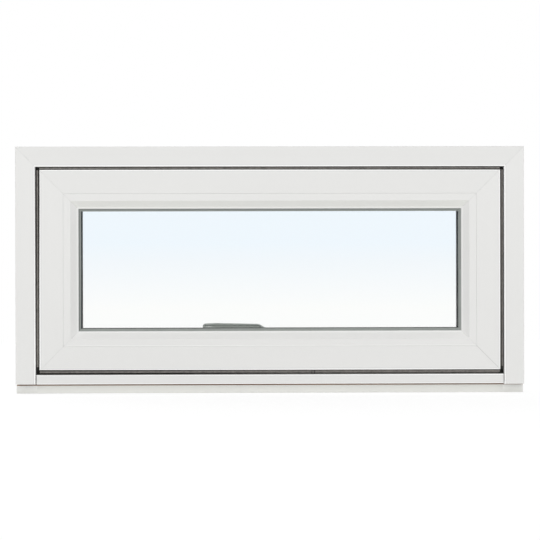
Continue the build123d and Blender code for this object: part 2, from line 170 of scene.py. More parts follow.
def new_group(name, inputs, outputs):
    """A node group that takes a vector and some numbers, still empty, with its input and output nodes."""
    group = bpy.data.node_groups.new(name, "ShaderNodeTree")
    group.interface.new_socket("Vector", in_out="INPUT", socket_type="NodeSocketVector")
    for socket in inputs:
        group.interface.new_socket(socket, in_out="INPUT", socket_type="NodeSocketFloat")
    for socket in outputs:
        group.interface.new_socket(socket, in_out="OUTPUT", socket_type="NodeSocketFloat")
    return group, group.nodes.new("NodeGroupInput"), group.nodes.new("NodeGroupOutput")


def put_group(tree, group, vector, values):
    """A shared effect placed in one material with its own values."""
    node = put_node(tree, "ShaderNodeGroup", {"node_tree": group}, values)
    tree.links.new(vector, node.inputs["Vector"])
    return node.outputs


def dress(names, material):
    """Give CAD nodes a material."""
    for name in names:
        slots = nodes_by_name[name].data.materials
        slots.clear()
        slots.append(material)


# Shared by all finishes: a broad drift of tone and a fine stipple, each from 0 to 1
unevenness, given, result = new_group("unevenness", ("Broad Scale", "Fine Scale"), ("Drift", "Stipple"))
for output, scale, detail in (("Drift", "Broad Scale", 3.0), ("Stipple", "Fine Scale", 2.0)):
    noise = put_node(unevenness, "ShaderNodeTexNoise", values={"Detail": detail, "Roughness": 0.55})
    unevenness.links.new(given.outputs["Vector"], noise.inputs["Vector"])
    unevenness.links.new(given.outputs[scale], noise.inputs["Scale"])
    unevenness.links.new(noise.outputs["Fac"], result.inputs[output])

# Most of a noise lies between these two
noise_span = (0.3, 0.7)


def put_tones(tree, noise, dark, light):
    """A colour that drifts between two tones with a noise."""
    return put_mix(tree, put_range(tree, noise, *noise_span), dark, light)


def put_surface(tree, shader, colour, drift, rough, height, relief):
    """Colour the shader, let its roughness drift between two values, and raise its relief from a height.

    relief has the bump's strength and its distance.
    """
    tree.links.new(colour, shader.inputs["Base Color"])
    tree.links.new(put_range(tree, drift, *noise_span, *rough), shader.inputs["Roughness"])
    tree.links.new(put_bump(tree, height, *relief), shader.inputs["Normal"])


paint_light = (0.792, 0.794, 0.760)
paint_shade = (0.779, 0.781, 0.746)
sill_painted_light = (0.940, 0.942, 0.915)
paint_rough = (0.38, 0.48)
paint_relief = (0.25, 0.00012)
stipple_share = 0.35
grain_along_x = (0.05, 1.0, 1.0)
grain_along_z = (1.0, 1.0, 0.05)

# The sill's front: the heights over which it has painted light against the cladding's shade, fully below the
# jambs and weakly between them, and its bare groove
painted_light_heights = (0.003, 0.013)
painted_light_beside = 0.4505
painted_light_between = 0.15
bare_wood_dark = (0.40, 0.23, 0.14)
bare_wood_light = (0.58, 0.36, 0.24)
wood_span = (0.35, 0.65)
groove_heights = (0.0152, 0.0187)
groove_depths = (-0.0380, -0.0290)
timber_front = -0.0370

# Hairline joints: how far each part of the jambs' ends is above or below the frame's middle, and its depth
paint_seam = (0.42, 0.41, 0.38)
seam_half = 0.0003
frame_middle = 0.23715
seam_at_rebate = 0.20015
seam_at_stop = 0.18415
seam_at_face = 0.18715
stop_front = 0.0240
stop_round = 0.0545
room_face = 0.0573
behind_jambs = 0.4355
sash_seam = 0.3683
sash_face = (0.0195, 0.0205)


def put_line(tree, value, middle):
    """One on a hairline where a value meets its middle, and nought elsewhere."""
    return put_band(tree, value, middle - seam_half, middle + seam_half)


def put_seams(tree, across, deep, up):
    """One on the hairline joints between jambs, sill and head, and between the sash's rails and stiles."""
    outward = put_size(tree, across)
    off_middle = put_size(tree, put_math(tree, "SUBTRACT", up, frame_middle))
    between_rebate_and_stop = put_band(tree, off_middle, seam_at_stop, seam_at_rebate)
    on_frame = put_any(
        tree,
        put_all(tree, put_line(tree, off_middle, seam_at_rebate), put_under(tree, deep, stop_front)),
        put_all(tree, put_line(tree, deep, stop_front), between_rebate_and_stop),
        put_all(tree, put_line(tree, off_middle, seam_at_stop), put_band(tree, deep, stop_front, stop_round)),
        put_all(tree, put_line(tree, off_middle, seam_at_face), put_over(tree, deep, room_face)),
    )
    on_frame = put_all(tree, on_frame, put_over(tree, outward, behind_jambs))
    on_sash = put_all(tree, put_line(tree, outward, sash_seam), put_band(tree, deep, *sash_face))
    return put_any(tree, on_frame, on_sash)


def painted_timber(name, stretch, sill=False):
    """White sprayed paint over straight pine grain. stretch is the grain's scale on each axis.

    A sill has its bare groove, and painted light close under the cladding, most of all below the jambs.
    """
    material, tree, shader = fresh_material(name)
    place = put_place(tree)
    across, deep, up = put_axes(tree, place)
    grain = put_node(tree, "ShaderNodeTexNoise", values={"Scale": 90.0, "Detail": 6.0, "Roughness": 0.6})
    tree.links.new(put_place(tree, stretch), grain.inputs["Vector"])
    grain = grain.outputs["Fac"]
    spray = put_group(tree, unevenness, place, {"Broad Scale": 7.0, "Fine Scale": 900.0})
    colour = put_tones(tree, grain, paint_shade, paint_light)
    colour = put_mix(tree, put_seams(tree, across, deep, up), colour, paint_seam)
    if sill:
        # Painted light on the sill's front, where the cladding above would shade it
        below_jamb = put_over(tree, put_size(tree, across), painted_light_beside)
        painted_light_mask = put_all(
            tree,
            put_range(tree, up, *painted_light_heights),
            put_any(tree, below_jamb, painted_light_between),
            put_under(tree, deep, timber_front),
        )
        colour = put_mix(tree, painted_light_mask, colour, sill_painted_light)
        in_groove = put_all(tree, put_band(tree, up, *groove_heights), put_band(tree, deep, *groove_depths))
        wood = put_mix(tree, put_range(tree, grain, *wood_span), bare_wood_dark, bare_wood_light)
        colour = put_mix(tree, in_groove, colour, wood)
    height = put_math(tree, "ADD", put_math(tree, "MULTIPLY", spray["Stipple"], stipple_share), grain)
    put_surface(tree, shader, colour, spray["Drift"], paint_rough, height, paint_relief)
    return material


dress(["frame_sill_timber"], painted_timber("painted_sill", grain_along_x, sill=True))
paint_across = painted_timber("painted_timber_across", grain_along_x)
paint_upright = painted_timber("painted_timber_upright", grain_along_z)
dress(["frame_head_timber"], paint_across)
dress(["frame_left_jamb_timber", "frame_right_jamb_timber"], paint_upright)


# Frame cladding: folded and extruded aluminium with a fine white powder coat, mitred at the head and snapped
# on clips over the timber. Its folds carry a painted highlight beside the gap, with a painted shade line
# inside it and a thin line of painted shade in the gap, and the mitres show as faint lines.
coat_light = (0.808, 0.807, 0.792)
coat_shade = (0.794, 0.793, 0.778)
coat_painted_highlight = (0.990, 0.992, 0.980)
coat_joint_and_shade_line = (0.762, 0.762, 0.752)
coat_open_line = (0.560, 0.560, 0.548)
coat_rough = (0.42, 0.52)
coat_relief = (0.18, 0.00005)
highlight_width = 0.0028
highlight_soft = 0.0011
shade_width = 0.0018
mitre_width = 0.0009
mitre_core = 0.00027
gap_shade_colour = (0.105, 0.101, 0.094)
fold_back = -0.0550

# The mitre at the sash's lower right is a little open: it lies right of the first and below the second
open_mitre_beside = 0.3980
open_mitre_below = 0.0915

# Shared by the coats: how far a place is outside a rectangle in the window's face, how far off the bevels at
# its corners, and whether it is beside an upright edge
edge_lines, given, result = new_group(
    "edge_lines", ("Half Width", "Middle", "Half Height"), ("Outside", "Bevel", "Upright")
)
across, _, up = put_axes(edge_lines, given.outputs["Vector"])
from_middle = put_math(edge_lines, "SUBTRACT", up, given.outputs["Middle"])
beside = put_math(edge_lines, "SUBTRACT", put_size(edge_lines, across), given.outputs["Half Width"])
above = put_math(edge_lines, "SUBTRACT", put_size(edge_lines, from_middle), given.outputs["Half Height"])
off_bevel = put_size(edge_lines, put_math(edge_lines, "SUBTRACT", beside, above))
edge_lines.links.new(put_any(edge_lines, beside, above), result.inputs["Outside"])
edge_lines.links.new(off_bevel, result.inputs["Bevel"])
edge_lines.links.new(put_over(edge_lines, beside, above), result.inputs["Upright"])


def powder_coat(name, edge, outward, tint=1.0, strips=(), foot=None, gap_shade=None):
    """White powder coat, with a painted highlight and a painted shade line beside a rectangle's edge.

    outward names the edge's side with 1 or -1, and edge has the rectangle's half width, middle and half
    height. tint scales the coat's colour as painted shade for this member. Each of the strips has two
    distances from that edge, its colour of painted light or shade, and how strong it is. foot is the height
    below which the coat has the painted highlight too. gap_shade is a dark line of painted shade on that
    edge: the axis along which it widens, from where and to where, and its full width.
    """
    material, tree, shader = fresh_material(name)
    place = put_place(tree)
    across, deep, up = put_axes(tree, place)
    coat = put_group(tree, unevenness, place, {"Broad Scale": 4.0, "Fine Scale": 1100.0})
    lines = put_group(tree, edge_lines, place, edge)
    away = put_math(tree, "MULTIPLY", lines["Outside"], outward)
    # tint darkens this member's coat as painted shade
    shade = tuple(channel * tint for channel in coat_shade)
    light = tuple(channel * tint for channel in coat_light)
    colour = put_tones(tree, coat["Drift"], shade, light)
    far_right = put_over(tree, across, open_mitre_beside)
    low_down = put_under(tree, up, open_mitre_below)
    mitre_line = put_mix(tree, put_all(tree, far_right, low_down), coat_joint_and_shade_line, coat_open_line)
    colour = put_mix(tree, put_range(tree, lines["Bevel"], mitre_width, mitre_core), colour, mitre_line)
    # A painted shade line, and then a painted highlight, along the edge
    colour = put_mix(tree, put_band(tree, away, highlight_width, highlight_width + shade_width), colour, coat_joint_and_shade_line)
    colour = put_mix(tree, put_range(tree, away, highlight_width, highlight_width - highlight_soft), colour, coat_painted_highlight)
    for near, far, strip_colour, strength in strips:
        on_strip = put_all(tree, put_band(tree, away, near, far), strength)
        colour = put_mix(tree, on_strip, colour, strip_colour)
    # A dark line of painted shade along the gap, on the fold's front
    if gap_shade:
        axis, start, end, width = gap_shade
        widening = put_range(tree, {"X": across, "Z": up}[axis], start, end, 0.0, width)
        in_gap_shade = put_all(tree, put_under(tree, away, widening), put_under(tree, deep, fold_back))
        colour = put_mix(tree, in_gap_shade, colour, gap_shade_colour)
    # A painted highlight along the coat's lower edge
    if foot:
        colour = put_mix(tree, put_range(tree, up, foot, foot - highlight_soft), colour, coat_painted_highlight)
    put_surface(tree, shader, colour, coat["Drift"], coat_rough, coat["Stipple"], coat_relief)
    return material


# The rebate is the opening that the sash closes. For the head and jambs it goes on below the sill, so that
# they get no rim there
rebate_half_width = 0.4518
rebate_top = 0.4373
rebate_foot = 0.0370
rebate_middle = (rebate_top + rebate_foot) / 2
rebate = {"Half Width": rebate_half_width, "Middle": rebate_middle, "Half Height": rebate_top - rebate_middle}
footless_rebate = {"Half Width": rebate_half_width, "Middle": 0.0, "Half Height": rebate_top}
# Painted shade: the head and the sill are a little darker than the jambs, and some folds darken along the gap
head_painted_shade = 0.978
head_gap_shade = ("X", -1.0, -0.5, 0.00018)
left_gap_shade = ("Z", 0.11, 0.40, 0.0006)
sill_painted_shade = 0.985
sill_gap_shade = ("X", 0.90, -0.20, 0.00048)
sill_highlight_height = 0.0204
head_coat = powder_coat("white_coat_head", footless_rebate, 1, tint=head_painted_shade, gap_shade=head_gap_shade)
left_coat = powder_coat("white_coat_left_jamb", footless_rebate, 1, gap_shade=left_gap_shade)
right_coat = powder_coat("white_coat_right_jamb", footless_rebate, 1)
sill_coat = powder_coat("white_coat_sill", rebate, 1, tint=sill_painted_shade, foot=sill_highlight_height, gap_shade=sill_gap_shade)
dress(["frame_head_cladding"], head_coat)
dress(["frame_left_jamb_cladding"], left_coat)
dress(["frame_right_jamb_cladding"], right_coat)
dress(["frame_sill_cladding"], sill_coat)


# Seals between frame and sash: the outer one is black rubber whose crest is grey with dust and painted light,
# and the inner one is the clean compression seal in the groove of the stop. Both are painted darker in their
# depth as shade.
black_rubber = (0.016, 0.015, 0.014)
dusty_lit_rubber = (0.265, 0.250, 0.232)
inner_seal_dark = (0.10, 0.10, 0.10)
inner_seal_light = (0.14, 0.14, 0.135)
inner_seal_front = 0.020
inner_seal_back = 0.024
seal_rough = (0.65, 0.85)
seal_relief = (0.5, 0.0002)
fuzz_span = (0.12, 0.36)
fuzz_strength = (0.42, 1.12)

# The crests: their line beside each jamb, where the seal ends at the corners, and how much dust and painted
# light the flanks carry
crest_front = -0.0508
crest_back = -0.0492
crest_beside = 0.4440
crest_left = 0.4475
crest_right = 0.4487
crest_half = 0.0008
crest_soft = 0.0006
crest_ends = (0.0517, 0.4310)
flank_dust_and_light = 0.15
right_flank_heights = (0.10, 0.40)
left_flank_heights = (0.30, 0.06)
left_flank_dust_and_light = 0.60
left_crevice_dust_and_light = (0.37, 1.00)

# The sill's stretch: where its crevice is lighter with dust and painted light, how it darkens under the sash
# as painted shade, and where the seal's two ends meet
sill_fill = (-0.20, 0.02)
corner_beside = 0.4420
under_sash_heights = (0.0424, 0.0434)
under_sash_shade = 0.25
seal_ends = ((0.0793, 0.0810), (0.0841, 0.0866))
seal_end_shade = 0.7


def crest_mask(tree, across, up):
    """How much dust and painted light the crests carry: fully along the sill and head, and as a narrow line
    beside the jambs.

    The line's flanks are darker, but the outer one carries them too towards the right jamb's top, and less so
    towards the left jamb's foot.
    """
    outward = put_size(tree, across)
    line = put_range(tree, across, -crest_beside, crest_beside, crest_left, crest_right)
    off_line = put_math(tree, "SUBTRACT", outward, line)
    off_size = put_size(tree, off_line)
    on_line = put_range(tree, off_size, crest_half + crest_soft, crest_half, flank_dust_and_light, 1.0)
    at_right = put_over(tree, across, 0.0)
    near_top = put_all(tree, at_right, put_range(tree, up, *right_flank_heights))
    near_foot = put_less(tree, put_range(tree, up, *left_flank_heights, 0.0, left_flank_dust_and_light), at_right)
    outer_flank = put_all(tree, put_over(tree, off_line, 0.0), put_any(tree, near_top, near_foot))
    dusty_line = put_all(tree, put_any(tree, on_line, outer_flank), put_band(tree, up, *crest_ends))
    clean = put_less(tree, put_over(tree, outward, crest_beside), dusty_line)
    return put_math(tree, "SUBTRACT", 1.0, clean)


def crevice_mask(tree, across, up):
    """Dust and painted light in the crevices: beside the left jamb, mostly at its foot, and the sill's right
    half.
    """
    beyond_crest = put_under(tree, across, -crest_left)
    fill = put_range(tree, up, *left_flank_heights, *left_crevice_dust_and_light)
    at_left = put_all(tree, beyond_crest, fill, put_band(tree, up, *crest_ends))
    off_corner = put_under(tree, put_size(tree, across), corner_beside)
    at_right_half = put_all(tree, off_corner, put_range(tree, across, *sill_fill))
    return put_any(tree, at_left, put_all(tree, at_right_half, put_under(tree, up, crest_ends[0])))


def shade_dust(tree, dust_and_light, across, up):
    """Dust and painted light, less at the sill: painted shade under the sash, and where the seal's two ends
    meet.
    """
    at_sill = put_under(tree, up, crest_ends[0])
    under_sash = put_range(tree, up, *under_sash_heights, 0.0, under_sash_shade)
    at_end = put_any(tree, *(put_band(tree, across, *end) for end in seal_ends))
    dust_and_light = put_less(tree, dust_and_light, put_all(tree, at_sill, under_sash))
    return put_less(tree, dust_and_light, put_all(tree, at_sill, at_end, seal_end_shade))


def seal_rubber(name, dark, dusty_lit, front, back, crests=False):
    """Rubber that is lighter at the front with dust and painted light, and darker in its depth as painted
    shade, with a fine fuzzy pattern.

    With crests, the dust and painted light lie on them and in the crevices beside them.
    """
    material, tree, shader = fresh_material(name)
    place = put_place(tree)
    across, deep, up = put_axes(tree, place)
    skin = put_group(tree, unevenness, place, {"Broad Scale": 120.0, "Fine Scale": 1100.0})
    fuzz = put_range(tree, put_all(tree, skin["Drift"], skin["Stipple"]), *fuzz_span, *fuzz_strength)
    # Painted light at the front and painted shade in the depth, with the dust
    dust_and_light = put_range(tree, deep, back, front)
    if crests:
        dust_and_light = put_all(tree, dust_and_light, crest_mask(tree, across, up))
        dust_and_light = put_any(tree, dust_and_light, crevice_mask(tree, across, up))
        dust_and_light = shade_dust(tree, dust_and_light, across, up)
    colour = put_mix(tree, put_all(tree, dust_and_light, fuzz), dark, dusty_lit)
    put_surface(tree, shader, colour, skin["Drift"], seal_rough, skin["Stipple"], seal_relief)
    return material


outer_rubber = seal_rubber(
    "outer_seal_rubber", black_rubber, dusty_lit_rubber, crest_front, crest_back, crests=True
)
inner_rubber = seal_rubber(
    "inner_seal_rubber", inner_seal_dark, inner_seal_light, inner_seal_front, inner_seal_back
)
dress(["frame_outer_gasket"], outer_rubber)
dress(["frame_inner_gasket"], inner_rubber)


# Sash timber: two stiles and two rails in the same painted pine as the frame, glued at the corners. They
# carry the glass, and the bottom rail takes the handle and the espagnolette.
dress(["sash_top_timber", "sash_bottom_timber"], paint_across)
dress(["sash_left_timber", "sash_right_timber"], paint_upright)


# Sash cladding: four aluminium channels in the same powder coat as the frame, mitred at the corners and
# snapped on clips over the sash timber. Their folds carry painted shade along the gap too, wider at one end
# of each, and the top one is a little darker as painted shade.
around = ("top", "bottom", "left", "right")
sash_half_width = 0.4443
sash_top = 0.4315
sash_foot = 0.0453
sash_middle = (sash_top + sash_foot) / 2
sash_edge = {"Half Width": sash_half_width, "Middle": sash_middle, "Half Height": sash_top - sash_middle}
sash_painted_shades = {"top": 0.986, "bottom": 1.0, "left": 1.0, "right": 1.0}
sash_gap_shade = {
    "top": ("X", -0.06, 0.44, 0.0010),
    "bottom": ("X", 0.02, -0.44, 0.0012),
    "left": ("Z", 0.16, 0.37, 0.0012),
    "right": ("Z", 0.13, 0.05, 0.0004),
}
for side in around:
    look = {"tint": sash_painted_shades[side], "gap_shade": sash_gap_shade[side]}
    dress([f"sash_{side}_cladding"], powder_coat(f"white_coat_sash_{side}", sash_edge, -1, **look))


# Glazing beads: four aluminium strips with a bevel towards the glass, in the same powder coat, mitred and
# clipped into the sash cladding. They are measured from the sash's edge: joint, bevel and lip. These carry
# painted light and shade, different on each bead.
bead_joint = (0.0455, 0.0475)
bead_slope = (0.0596, 0.0733)
bead_lip = (0.0733, 0.0760)
lower_joint_painted_light = (0.928, 0.928, 0.914)
slope_strength = 0.5
slope_painted_light = {"top": (0.862, 0.868, 0.815), "bottom": (0.838, 0.837, 0.822)}
lip_painted_tones = {
    "top": (0.770, 0.772, 0.758),
    "bottom": (0.815, 0.817, 0.807),
    "left": (0.800, 0.802, 0.792),
    "right": (0.690, 0.692, 0.682),
}
for side in around:
    # Painted light or shade on the lip and the slope, and painted light over the lower joint
    strips = [(*bead_lip, lip_painted_tones[side], 1.0)]
    if side in slope_painted_light:
        strips.append((*bead_slope, slope_painted_light[side], slope_strength))
    if side == "bottom":
        strips.append((*bead_joint, lower_joint_painted_light, 1.0))
    dress([f"glazing_bead_{side}"], powder_coat(f"white_coat_bead_{side}", sash_edge, -1, strips=strips))


# Glazing gasket and tape: smooth grey rubber that presses the glass from both sides. Painted shade darkens
# its outer half at the left bead, and less so at the top one, and its lip has painted shade towards the left
# bead's foot.
gasket_dark = (0.300, 0.322, 0.304)
gasket_light = (0.340, 0.362, 0.344)
gasket_rough = (0.45, 0.6)
gasket_relief = (0.2, 0.00005)
gasket_crevice_shade = (0.215, 0.228, 0.218)
gasket_crevice = (0.0782, 0.0772)
top_crevice_shade = 0.55
gasket_lip = (0.0790, 0.0795)
lip_shade = (0.050, 0.062, 0.072)
lip_heights = (0.24, 0.12)
lip_strength = (0.4, 1.0)


def smooth_rubber(name):
    """Clean extruded rubber, faintly mottled, with painted shade in its crevice and on its lip."""
    material, tree, shader = fresh_material(name)
    place = put_place(tree)
    across, _, up = put_axes(tree, place)
    skin = put_group(tree, unevenness, place, {"Broad Scale": 25.0, "Fine Scale": 1500.0})
    lines = put_group(tree, edge_lines, place, sash_edge)
    from_edge = put_math(tree, "MULTIPLY", lines["Outside"], -1.0)
    at_left = put_all(tree, put_under(tree, across, 0.0), lines["Upright"])
    at_top = put_all(tree, put_over(tree, up, sash_middle), top_crevice_shade)
    # Painted shade in the crevice beside the left and top beads
    in_crevice = put_all(tree, put_range(tree, from_edge, *gasket_crevice), put_any(tree, at_left, at_top))
    on_left_lip = put_all(tree, put_range(tree, from_edge, *gasket_lip), at_left)
    on_lip = put_all(tree, on_left_lip, put_range(tree, up, *lip_heights, *lip_strength))
    colour = put_tones(tree, skin["Drift"], gasket_dark, gasket_light)
    colour = put_mix(tree, in_crevice, colour, gasket_crevice_shade)
    colour = put_mix(tree, on_lip, colour, lip_shade)
    put_surface(tree, shader, colour, skin["Drift"], gasket_rough, skin["Stipple"], gasket_relief)
    return material


dress(["outer_glazing_gasket", "inner_glazing_tape"], smooth_rubber("grey_rubber"))


# Triple glass: three clear panes of float glass with little reflection, sealed into one unit by the spacers.
# The outer one has the faint cool tint of a thin coating, stronger towards its top.
coated_top = (0.872, 0.938, 0.990)
coated_half = (0.900, 0.943, 0.975)
coated_foot = (0.975, 0.983, 0.975)
tint_low = 0.164
tint_half = 0.255
tint_high = 0.290
plain_tint = (0.997, 0.999, 0.998)
glass_refraction = 1.5
glass_reflection = (0.3, 0.3, 0.3)


def clear_glass(name):
    """Clear glass with its gloss and refraction, ready for a tint."""
    material, tree, shader = fresh_material(name)
    shader.inputs["Roughness"].default_value = 0.0
    shader.inputs["IOR"].default_value = glass_refraction
    shader.inputs["Transmission Weight"].default_value = 1.0
    shader.inputs["Specular Tint"].default_value = (*glass_reflection, 1)
    return material, tree, shader


coated_glass, tree, shader = clear_glass("coated_glass")
_, _, up = put_axes(tree, put_place(tree))
lower_tint = put_mix(tree, put_range(tree, up, tint_low, tint_half), coated_foot, coated_half)
upper_tint = put_mix(tree, put_range(tree, up, tint_half, tint_high), lower_tint, coated_top)
tree.links.new(upper_tint, shader.inputs["Base Color"])
dress(["outer_pane"], coated_glass)
plain_glass, tree, shader = clear_glass("plain_glass")
shader.inputs["Base Color"].default_value = (*plain_tint, 1)
dress(["middle_pane", "inner_pane"], plain_glass)


# Spacers: charcoal bars sealed between the panes, inside the glass's edge, with fine breathing holes in their
# inner face. The upright ones stand in deeper shade.
spacer_across = (0.056, 0.064, 0.062)
spacer_upright = (0.029, 0.037, 0.037)
spacer_hole = (0.018, 0.022, 0.021)
spacer_rough = (0.5, 0.65)
spacer_relief = (0.3, 0.0001)
hole_edge = (0.12, 0.22)


def spacer_finish(name):
    """Matt charcoal with fine dots."""
    material, tree, shader = fresh_material(name)
    place = put_place(tree)
    dots = put_node(tree, "ShaderNodeTexVoronoi", values={"Scale": 250.0, "Randomness": 0.15})
    tree.links.new(place, dots.inputs["Vector"])
    off_hole = put_range(tree, dots.outputs["Distance"], *hole_edge)
    lines = put_group(tree, edge_lines, place, sash_edge)
    bar = put_mix(tree, lines["Upright"], spacer_across, spacer_upright)
    colour = put_mix(tree, off_hole, spacer_hole, bar)
    skin = put_group(tree, unevenness, place, {"Broad Scale": 20.0, "Fine Scale": 1200.0})
    put_surface(tree, shader, colour, skin["Drift"], spacer_rough, off_hole, spacer_relief)
    return material


dress(["outer_spacer", "inner_spacer"], spacer_finish("charcoal_spacer"))


# Handle: die-cast metal with a satin finish, brushed along the lever. Its upper side has a painted highlight,
# most of all towards the tip, which has a painted glint. A painted shadow runs as a dark line along the side
# seen through the glass.
handle_dark = (0.370, 0.405, 0.380)
handle_light = (0.440, 0.475, 0.450)
handle_painted_highlight = (0.72, 0.74, 0.73)
handle_rough = 0.34
rough_spread = 0.12
brushed_along_x = (0.06, 1.0, 1.0)
metal_relief = (0.15, 0.00003)

# The lever's upper and outer sides are told by how far its surface faces up, or away from the room
upper_side = (0.15, 0.75)
highlight_reach = (-0.065, -0.125)
highlight_strength = (0.25, 1.0)
lever_shadow = (0.140, 0.160, 0.150)
outer_side = (-0.85, -0.98)
shadow_low = 0.1269
shadow_high = 0.1292
shadow_soft = 0.0006
shadow_strength = 0.75
glint_place = (-0.1190, 0.1259)
glint_size = (0.0085, 0.0014)


def squared_distance(tree, value, middle, size):
    """The square of how far a value is from its middle, counted in sizes."""
    off = put_math(tree, "DIVIDE", put_math(tree, "SUBTRACT", value, middle), size)
    return put_math(tree, "MULTIPLY", off, off)


def lever_painted_light(tree, colour):
    """Painted light on the lever: its highlight, its shadow line and the glint on its tip, over its metal's
    colour.
    """
    coordinates = tree.nodes.new("ShaderNodeTexCoord")
    across, _, up = put_axes(tree, coordinates.outputs["Object"])
    _, tilt_deep, tilt_up = put_axes(tree, coordinates.outputs["Normal"])
    # A painted highlight on the lever's upper side, strongest towards the tip
    towards_tip = put_range(tree, across, *highlight_reach, *highlight_strength)
    lit_upper_side = put_all(tree, put_range(tree, tilt_up, *upper_side), towards_tip)
    colour = put_mix(tree, lit_upper_side, colour, handle_painted_highlight)
    in_shadow = put_all(
        tree,
        put_range(tree, up, shadow_low, shadow_low + shadow_soft),
        put_range(tree, up, shadow_high, shadow_high - shadow_soft),
        put_range(tree, tilt_deep, *outer_side),
        shadow_strength,
    )
    colour = put_mix(tree, in_shadow, colour, lever_shadow)
    off_across = squared_distance(tree, across, glint_place[0], glint_size[0])
    off_up = squared_distance(tree, up, glint_place[1], glint_size[1])
    glint = put_range(tree, put_math(tree, "ADD", off_across, off_up), 1.0, 0.0)
    return put_mix(tree, put_all(tree, glint, put_under(tree, tilt_deep, 0.0)), colour, handle_painted_highlight)


def satin_metal(name, dark, light, rough, painted_light_marks=None):
    """Satin metal, brushed along X. painted_light_marks is a function that paints light and shade on its
    colour.
    """
    material, tree, shader = fresh_material(name)
    along = put_place(tree, brushed_along_x)
    brush = put_group(tree, unevenness, along, {"Broad Scale": 250.0, "Fine Scale": 2500.0})
    colour = put_tones(tree, brush["Drift"], dark, light)
    if painted_light_marks:
        colour = painted_light_marks(tree, colour)
    shader.inputs["Metallic"].default_value = 1.0
    rough_range = (rough, rough + rough_spread)
    put_surface(tree, shader, colour, brush["Drift"], rough_range, brush["Stipple"], metal_relief)
    return material


dress(["handle_lever"], satin_metal("satin_lever", handle_dark, handle_light, handle_rough, lever_painted_light))
dress(["handle_backplate"], satin_metal("satin_plate", handle_dark, handle_light, handle_rough))


# Backplate screws: two raised heads with a cross recess, turned and pressed from steel and plated. They hold
# the backplate to the bottom rail, one on each side of the hub.
screw_across = 0.0215
screw_height = 0.112
plate_face = 0.0290
screw_radius = 0.0036
screw_rise = 0.0008
screw_dome = 0.0004
screw_corners = 48
rim_bevel = 0.0006
bevel_steps = 3
dome_shoulder = 0.0007
shoulder_share = 0.7
recess_radius = 0.0017
recess_arm_turn = 15.0
recess_depth = 0.0009
recess_taper = 0.62
turn_tolerance = 0.1
level_tolerance = 0.00003
top_tolerance = 0.0001
facing_room = 0.999
second_screw_turn = 32.0
smooth_angle = 28.0
zinc_screw_dark = (0.55, 0.56, 0.55)
zinc_screw_light = (0.68, 0.69, 0.68)
zinc_screw_rough = 0.24


def pick(mesh, kind, test):
    """Deselect everything in edit mode, then select the vertices, edges or faces that pass a test."""
    bpy.ops.mesh.select_mode(type={"verts": "VERT", "edges": "EDGE", "faces": "FACE"}[kind])
    bpy.ops.mesh.select_all(action="DESELECT")
    shape = bmesh.from_edit_mesh(mesh)
    for element in getattr(shape, kind):
        if test(element):
            element.select = True
    shape.select_flush_mode()
    bmesh.update_edit_mesh(mesh)


def centre_depth(face):
    """How far a face's centre lies towards the room."""
    return face.calc_center_median().y


def off_arm(vertex):
    """A recess corner's turn in degrees from the nearest arm of the cross."""
    turn = math.degrees(math.atan2(vertex.co.z - screw_height, vertex.co.x - screw_across)) % 90
    return round(min(turn, 90 - turn), 1)


bpy.ops.object.select_all(action="DESELECT")
bpy.ops.mesh.primitive_cylinder_add(
    vertices=screw_corners,
    radius=screw_radius,
    depth=2 * screw_rise,
    location=(screw_across, plate_face, screw_height),
    rotation=(math.radians(90), 0, 0),
)
screw = bpy.context.active_object
screw.name = "backplate_screw_right"
bpy.ops.object.transform_apply(location=True, rotation=True, scale=True)
bpy.ops.object.mode_set(mode="EDIT")

# The head: its rim is rounded, and its middle rises in two steps to a low dome
screw_top = plate_face + screw_rise
pick(screw.data, "edges", lambda edge: all(vertex.co.y > screw_top - top_tolerance for vertex in edge.verts))
bpy.ops.mesh.bevel(offset=rim_bevel, segments=bevel_steps, affect="EDGES")
pick(
    screw.data,
    "faces",
    lambda face: face.normal.y > facing_room and centre_depth(face) > screw_top - top_tolerance,
)
bpy.ops.mesh.inset(thickness=dome_shoulder)
bpy.ops.transform.translate(value=(0, screw_dome * shoulder_share, 0))
bpy.ops.mesh.inset(thickness=screw_radius - rim_bevel - dome_shoulder - recess_radius)
bpy.ops.transform.translate(value=(0, screw_dome * (1 - shoulder_share), 0))

# The recess: corners between the arms move inwards until the middle face is a cross, which then sinks in
recess_level = screw_top + screw_dome
shape = bmesh.from_edit_mesh(screw.data)
recess_corners = [vertex for vertex in shape.verts if abs(vertex.co.y - recess_level) < level_tolerance]
for turn in sorted({off_arm(vertex) for vertex in recess_corners}):
    if turn > recess_arm_turn + turn_tolerance:
        narrow = math.sin(math.radians(recess_arm_turn)) / math.sin(math.radians(turn))
        pick(
            screw.data,
            "verts",
            lambda vertex: abs(vertex.co.y - recess_level) < level_tolerance and off_arm(vertex) == turn,
        )
        bpy.ops.transform.resize(
            value=(narrow, 1, narrow), center_override=(screw_across, recess_level, screw_height)
        )
pick(screw.data, "faces", lambda face: centre_depth(face) > recess_level - level_tolerance)
bpy.ops.mesh.extrude_region_move(TRANSFORM_OT_translate={"value": (0, -recess_depth, 0)})
bpy.ops.transform.resize(
    value=(recess_taper, 1, recess_taper),
    center_override=(screw_across, recess_level - recess_depth, screw_height),
)
bpy.ops.mesh.select_all(action="SELECT")
bpy.ops.mesh.normals_make_consistent(inside=False)
bpy.ops.object.mode_set(mode="OBJECT")
bpy.ops.object.shade_smooth_by_angle(angle=math.radians(smooth_angle))
screw.data.materials.append(satin_metal("bright_zinc", zinc_screw_dark, zinc_screw_light, zinc_screw_rough))

